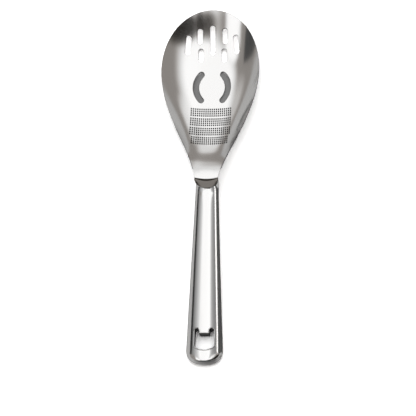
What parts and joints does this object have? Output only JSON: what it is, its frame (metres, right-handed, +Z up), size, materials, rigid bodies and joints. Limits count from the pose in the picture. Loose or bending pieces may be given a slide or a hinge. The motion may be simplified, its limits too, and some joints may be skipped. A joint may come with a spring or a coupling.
{
  "type": "serving spoon",
  "caption": "Long serving spoon with a deep pressed bowl that drains, grates and separates eggs, on a hollow steel handle whose end opens bottles and hangs on a hook",
  "frame": {"origin": "On the table, below the middle of the spoon's length and width, with the spoon lying on its back", "axes": "+Y runs along the spoon from the end of the handle to the tip of the bowl, +Z is up out of the bowl, and X = 0 is the plane of symmetry"},
  "size_m": [0.092, 0.34, 0.0303],
  "materials": {
    "satin_steel": "fine satin",
    "polished_steel": "polished"
  },
  "bodies": {
    "root": {"bowl": "satin_steel", "handle_front_shell": "polished_steel", "handle_back_shell": "polished_steel", "opening_liner": "polished_steel", "neck_weld": "satin_steel"}
  },
  "joints": []
}
